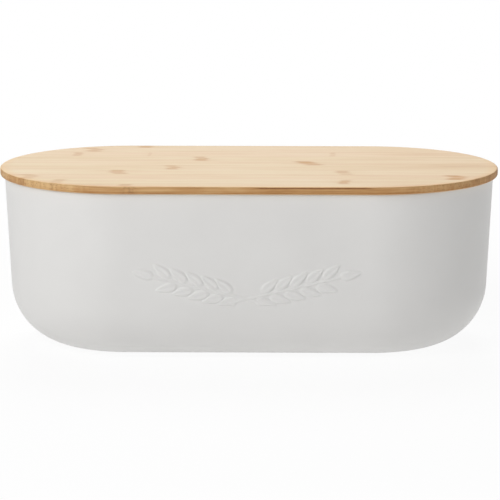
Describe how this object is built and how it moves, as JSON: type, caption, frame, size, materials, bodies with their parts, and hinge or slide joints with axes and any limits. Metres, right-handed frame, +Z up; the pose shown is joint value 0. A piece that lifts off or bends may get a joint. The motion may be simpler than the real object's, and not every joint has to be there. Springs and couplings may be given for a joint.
{
  "type": "bread box",
  "caption": "Oblong moulded tub with rounded ends and a deep rounded base, closed by a flat laminated bamboo lid that drops into the mouth, overhangs the rim and lifts straight off.",
  "frame": {"origin": "on the table, under the middle of the box", "axes": "+Z up, +X along the box, -Y towards the front"},
  "size_m": [0.35, 0.18, 0.125],
  "materials": {
    "tub_moulding": "satin pale grey moulding, like melamine",
    "bamboo_top": "pale bamboo strips, sanded and lightly oiled",
    "bamboo_under": "pale bamboo strips, sanded and lightly oiled"
  },
  "bodies": {
    "tub": {"tub": "tub_moulding"},
    "lid": {"lid_top_strip_1": "bamboo_top", "lid_top_strip_2": "bamboo_top", "lid_top_strip_3": "bamboo_top", "lid_top_strip_4": "bamboo_top", "lid_top_strip_5": "bamboo_top", "lid_top_strip_6": "bamboo_top", "lid_top_strip_7": "bamboo_top", "lid_top_strip_8": "bamboo_top", "lid_top_strip_9": "bamboo_top", "lid_top_strip_10": "bamboo_top", "lid_under_strip_1": "bamboo_under", "lid_under_strip_2": "bamboo_under", "lid_under_strip_3": "bamboo_under", "lid_under_strip_4": "bamboo_under", "lid_under_strip_5": "bamboo_under", "lid_under_strip_6": "bamboo_under", "lid_under_strip_7": "bamboo_under", "lid_under_strip_8": "bamboo_under", "lid_under_strip_9": "bamboo_under"}
  },
  "joints": [
    {"name": "lid_lift", "type": "slide", "parent": "tub", "child": "lid", "axis": [0, 0, 1], "range_m": [0, 0.15]}
  ]
}
